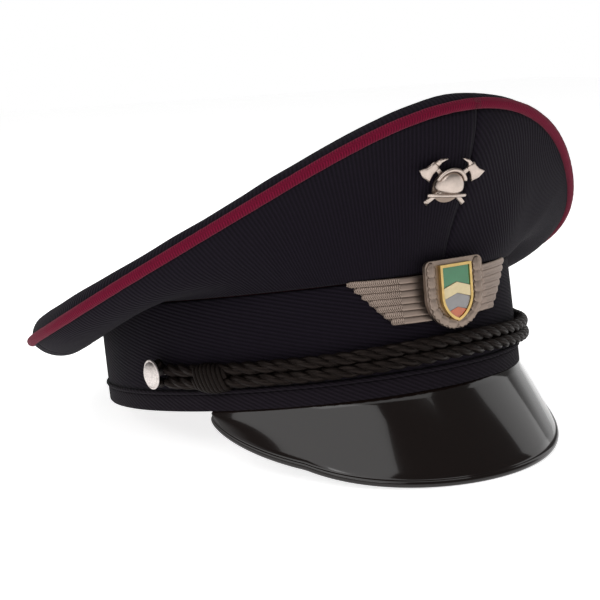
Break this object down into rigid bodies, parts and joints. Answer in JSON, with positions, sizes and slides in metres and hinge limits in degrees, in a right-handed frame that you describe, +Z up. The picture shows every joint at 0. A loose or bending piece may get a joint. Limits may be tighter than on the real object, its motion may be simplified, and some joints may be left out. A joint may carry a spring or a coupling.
{
  "type": "peaked cap",
  "caption": "Peaked uniform cap with a saddle-shaped cloth crown, contrast piping, stiff band, twisted cap cord, winged badge and lacquered visor.",
  "frame": {"origin": "under the middle of the cap's bounding box, on the table that it lies on", "axes": "+Z up, -Y the way the visor points, +X the wearer's left; the cap lies on its visor and the rear of its rim, so its own axis leans back"},
  "size_m": [0.2548, 0.2686, 0.1489],
  "materials": {
    "crown_cloth": "dark navy twill",
    "band_cloth": "dark navy twill, fine",
    "piping_cloth": "crimson felted piping",
    "spring_steel": "drawn wire",
    "ferrule_brass": "drawn tube",
    "lining_satin": "satin weave",
    "clear_film": "clear flexible film",
    "buckram": "stiff open weave",
    "stay_plastic": "moulded strip",
    "fibre_board": "pressed fibre",
    "sweatband_leather": "smooth, slightly worn",
    "pad_foam": "soft foam",
    "visor_lacquer": "patent gloss",
    "visor_underside": "fine grain",
    "cord_yarn": "twisted yarn with a soft sheen",
    "button_silver": "pebbled silver finish",
    "fastener_steel": "turned",
    "badge_silver": "antique silver with dark recesses",
    "badge_gilt": "antique gilt",
    "enamel_cream": "hard enamel",
    "enamel_green": "hard enamel",
    "enamel_grey": "hard enamel",
    "enamel_orange": "hard enamel",
    "emblem_silver": "satin silver"
  },
  "bodies": {
    "cap": {"badge_back_plate": "badge_silver", "badge_enamel_base": "enamel_orange", "badge_enamel_chevron": "enamel_cream", "badge_enamel_middle": "enamel_grey", "badge_enamel_upper": "enamel_green", "badge_nuts": "fastener_steel", "badge_shield_rim": "badge_gilt", "badge_wing_left": "badge_silver", "badge_wing_right": "badge_silver", "badge_wreath": "badge_silver", "band_hem_strip": "band_cloth", "band_stiffener": "fibre_board", "band_welt": "band_cloth", "cap_band": "band_cloth", "cord_loop_left": "cord_yarn", "cord_loop_right": "cord_yarn", "cord_strand_lower": "cord_yarn", "cord_strand_upper": "cord_yarn", "crown_lining_left": "lining_satin", "crown_lining_right": "lining_satin", "crown_lining_top": "lining_satin", "crown_piping": "piping_cloth", "crown_quarter_front_left": "crown_cloth", "crown_quarter_front_right": "crown_cloth", "crown_quarter_rear_left": "crown_cloth", "crown_quarter_rear_right": "crown_cloth", "crown_top": "crown_cloth", "crown_wire": "spring_steel", "crown_wire_ferrule": "ferrule_brass", "emblem_axes": "emblem_silver", "emblem_base": "emblem_silver", "emblem_helmet": "emblem_silver", "emblem_nut": "fastener_steel", "forehead_pad": "pad_foam", "front_stay": "stay_plastic", "front_stiffener": "buckram", "sweat_shield": "clear_film", "sweatband": "sweatband_leather", "visor_edge_binding": "visor_lacquer", "visor_lining": "visor_underside", "visor_shell": "visor_lacquer"},
    "button_left": {"side_button_left": "button_silver", "button_washer_left": "fastener_steel"},
    "knot_left": {"slide_knot_left": "cord_yarn"},
    "button_right": {"side_button_right": "button_silver", "button_washer_right": "fastener_steel"},
    "knot_right": {"slide_knot_right": "cord_yarn"}
  },
  "joints": [
    {"name": "button_left_turn", "type": "hinge", "parent": "cap", "child": "button_left", "pos_m": [0.08401, -0.02477, 0.03561], "axis": [0.9999, -0.0121, 0.0018], "continuous": true},
    {"name": "knot_left_slide", "type": "hinge", "parent": "cap", "child": "knot_left", "pos_m": [-0.03338, -0.00102, 0.03005], "axis": [0, 0.1473, 0.9891], "range_deg": [-12.8, 5.2]},
    {"name": "button_right_turn", "type": "hinge", "parent": "cap", "child": "button_right", "pos_m": [-0.08401, -0.02477, 0.03561], "axis": [-0.9999, -0.0121, 0.0018], "continuous": true},
    {"name": "knot_right_slide", "type": "hinge", "parent": "cap", "child": "knot_right", "pos_m": [0.03338, -0.00102, 0.03005], "axis": [0, 0.1473, 0.9891], "range_deg": [-5.2, 12.8]}
  ]
}
